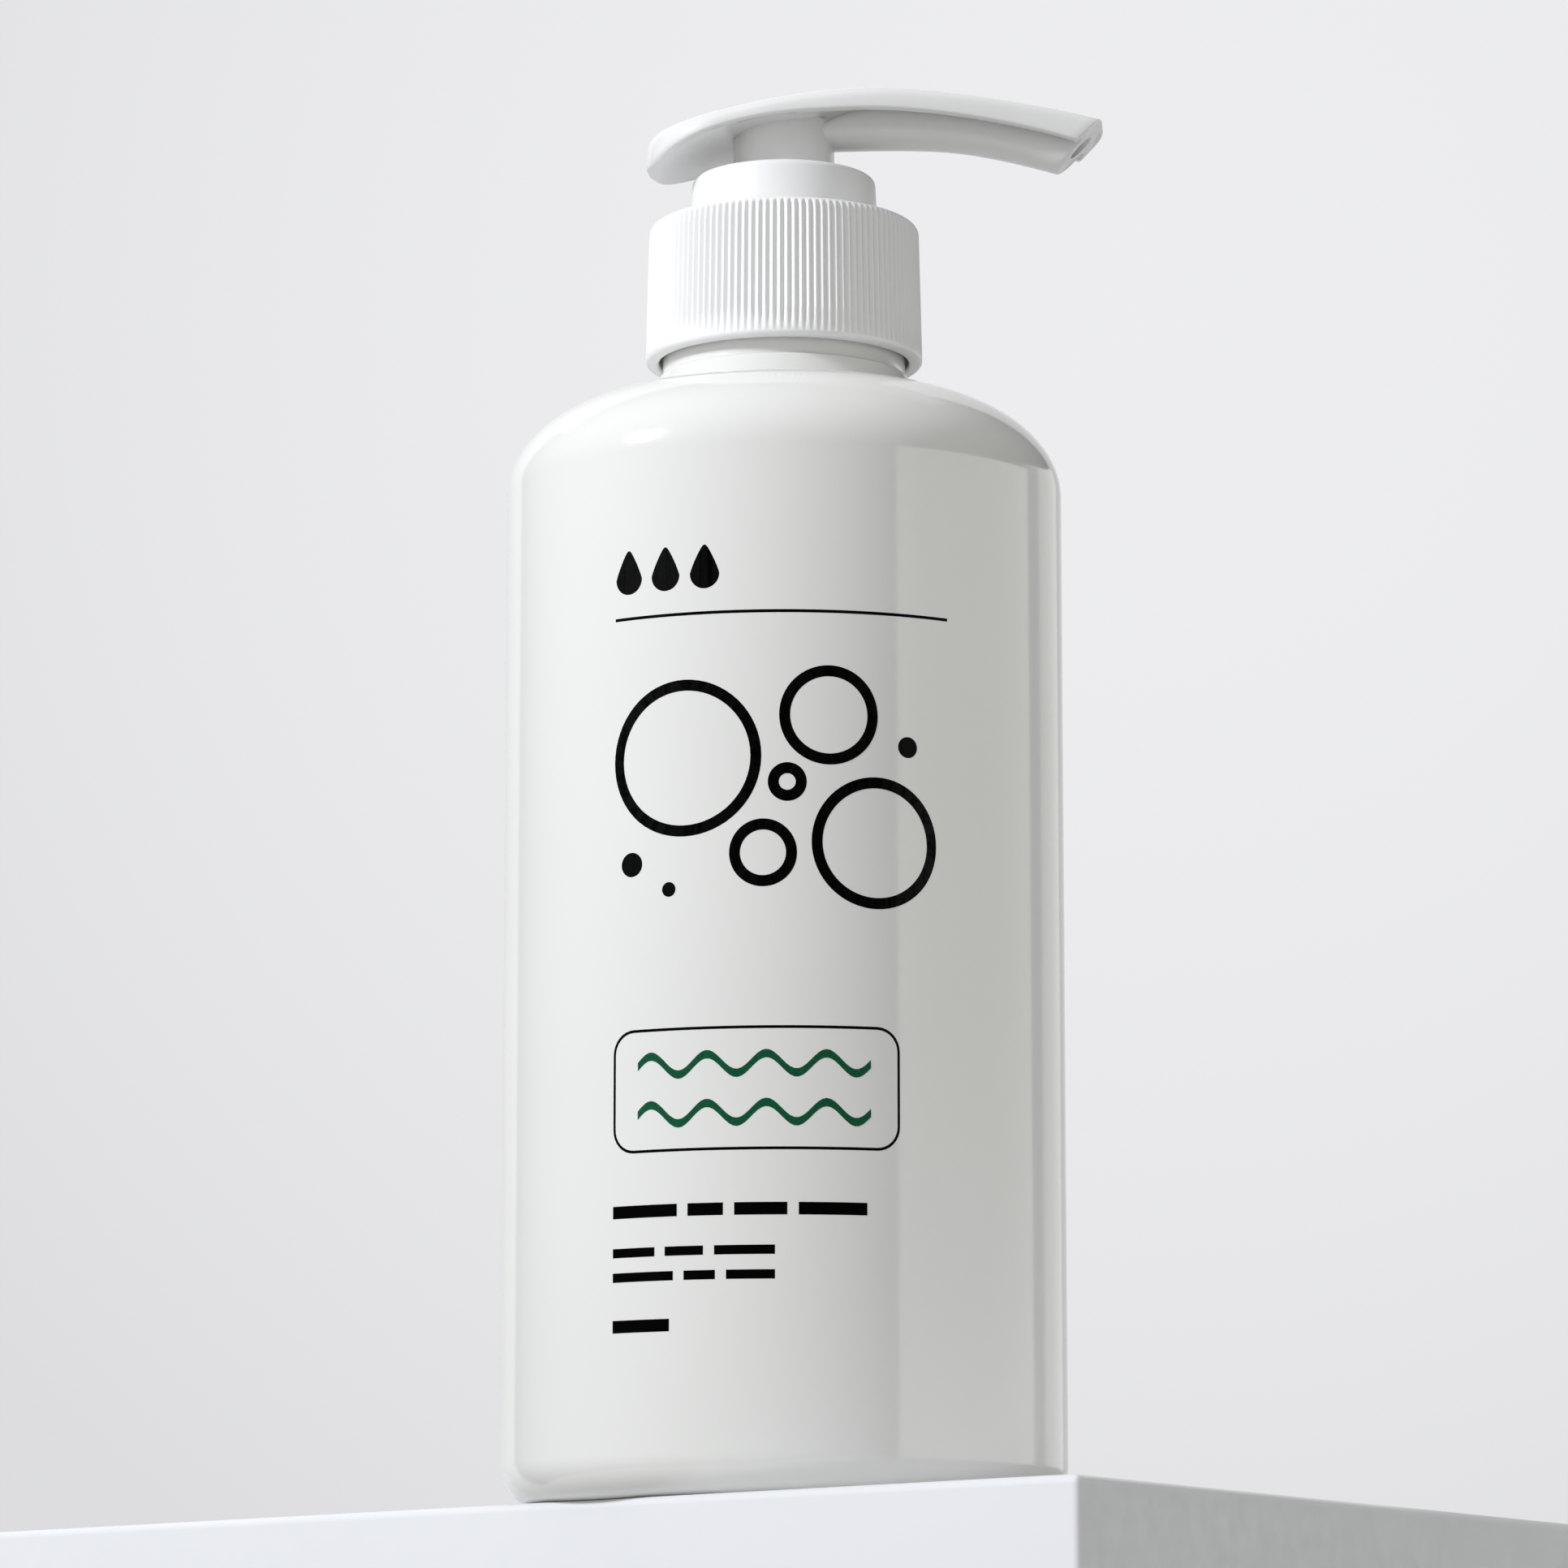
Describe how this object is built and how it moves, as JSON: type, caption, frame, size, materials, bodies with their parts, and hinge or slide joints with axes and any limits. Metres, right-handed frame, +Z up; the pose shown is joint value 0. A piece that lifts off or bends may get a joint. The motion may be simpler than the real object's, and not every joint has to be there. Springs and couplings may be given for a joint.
{
  "type": "shampoo bottle",
  "caption": "Round white shampoo bottle with a ribbed screw cap and a lock-down lotion pump whose curved spout head turns, rises and drives a piston pump inside.",
  "frame": {"origin": "on the bottle's upright axis, on the plane that its standing ring rests on; the flat base panel is 0.8 mm above it", "axes": "+Z up along the bottle and pump; +X along the spout; +Y completes the right-handed frame, so the head is symmetric about y = 0"},
  "size_m": [0.078, 0.072, 0.1837],
  "materials": {
    "white_bottle": "glossy white blown plastic",
    "white_cap": "white moulded polypropylene, ribbed",
    "gasket_foam": "white closed-cell foam",
    "white_collar": "white moulded polypropylene",
    "natural_housing": "natural polypropylene",
    "natural_tube": "natural polyethylene tube",
    "natural_cage": "natural polypropylene",
    "ball_steel": "polished stainless steel",
    "spring_steel": "drawn stainless wire",
    "natural_plunger": "natural polypropylene",
    "piston_polyethylene": "soft polyethylene",
    "white_stem": "white moulded polypropylene",
    "white_head": "white moulded polypropylene, satin gloss"
  },
  "bodies": {
    "bottle": {"bottle": "white_bottle"},
    "pump_body": {"pump_housing": "natural_housing", "neck_gasket": "gasket_foam", "lock_collar": "white_collar", "ball_cage": "natural_cage", "dip_tube": "natural_tube"},
    "cap": {"screw_cap": "white_cap"},
    "carriage": {"return_spring": "spring_steel"},
    "head": {"pump_head": "white_head", "stem": "white_stem", "plunger": "natural_plunger"},
    "piston": {"piston": "piston_polyethylene"},
    "ball": {"inlet_ball": "ball_steel"}
  },
  "joints": [
    {"name": "pump_lift", "type": "slide", "parent": "bottle", "child": "pump_body", "axis": [0, 0, 1], "range_m": [0, 0.00635]},
    {"name": "cap_turn", "type": "hinge", "parent": "pump_body", "child": "cap", "pos_m": [0, 0, 0.157], "axis": [0, 0, 1], "range_deg": [0, 540]},
    {"name": "head_rise", "type": "slide", "parent": "pump_body", "child": "carriage", "axis": [0, 0, 1], "range_m": [0, 0.015], "deforming": ["return_spring"]},
    {"name": "head_turn", "type": "hinge", "parent": "carriage", "child": "head", "pos_m": [0, 0, 0.1728], "axis": [0, 0, 1], "continuous": true},
    {"name": "piston_shift", "type": "slide", "parent": "head", "child": "piston", "axis": [0, 0, 1], "range_m": [0, 0.0012]},
    {"name": "ball_lift", "type": "slide", "parent": "pump_body", "child": "ball", "axis": [0, 0, 1], "range_m": [0, 0.0018]}
  ],
  "couplings": [
    {"joint": "pump_lift", "follows": "cap_turn", "m_per_rad": 0.00067376}
  ]
}
